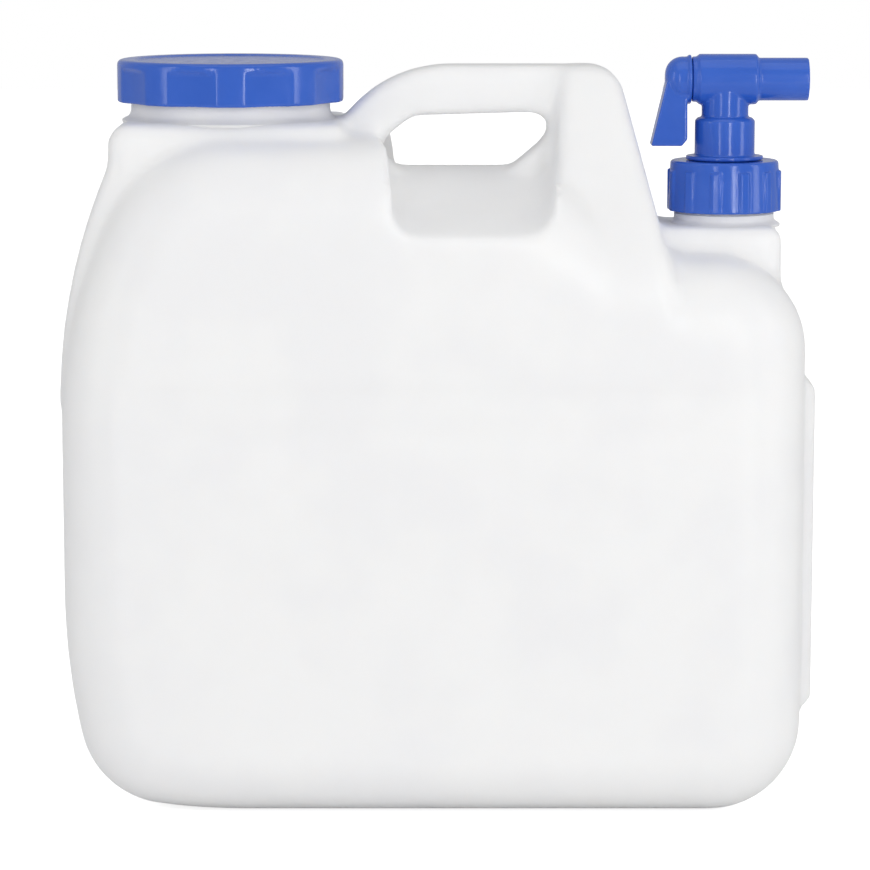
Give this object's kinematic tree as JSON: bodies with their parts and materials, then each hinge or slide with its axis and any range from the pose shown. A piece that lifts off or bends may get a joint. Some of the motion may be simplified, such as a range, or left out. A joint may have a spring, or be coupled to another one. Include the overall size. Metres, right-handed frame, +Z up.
{
  "type": "water canister",
  "caption": "Blow-moulded water canister with a moulded-in handle, a wide screw lid and a lever tap held by a union nut.",
  "frame": {"origin": "middle of the base, on the plane it stands on", "axes": "+X from the wide lid towards the tap, -Y towards the front, +Z up"},
  "size_m": [0.37, 0.18, 0.3693],
  "materials": {
    "natural_hdpe": "natural white blow-moulded, soft satin",
    "blue_plastic": "injection moulded, glossy",
    "rubber": "soft matt seal"
  },
  "bodies": {
    "canister": {"canister": "natural_hdpe"},
    "gasket": {"lid_gasket": "rubber"},
    "lid": {"lid": "blue_plastic"},
    "tap": {"tap_housing": "blue_plastic", "tap_washer": "rubber", "spigot_o_ring": "rubber"},
    "nut": {"union_nut": "blue_plastic"},
    "lever": {"tap_lever": "blue_plastic", "plug_o_rings": "rubber"}
  },
  "joints": [
    {"name": "lid_lift", "type": "slide", "parent": "canister", "child": "gasket", "axis": [0, 0, 1], "range_m": [0, 0.0181]},
    {"name": "lid_turn", "type": "hinge", "parent": "gasket", "child": "lid", "pos_m": [-0.103, 0, 0.356], "axis": [0, 0, 1], "range_deg": [0, 1080]},
    {"name": "tap_lift", "type": "slide", "parent": "canister", "child": "tap", "axis": [0, 0, 1], "range_m": [0, 0.0181]},
    {"name": "nut_turn", "type": "hinge", "parent": "tap", "child": "nut", "pos_m": [0.1422, 0, 0.304], "axis": [0, 0, 1], "range_deg": [0, 1080]},
    {"name": "lever_turn", "type": "hinge", "parent": "tap", "child": "lever", "pos_m": [0.1422, 0, 0.3568], "axis": [1, 0, 0], "range_deg": [-90, 0]}
  ],
  "couplings": [
    {"joint": "lid_lift", "follows": "lid_turn", "m_per_rad": 0.00095493},
    {"joint": "tap_lift", "follows": "nut_turn", "m_per_rad": 0.00095493}
  ]
}
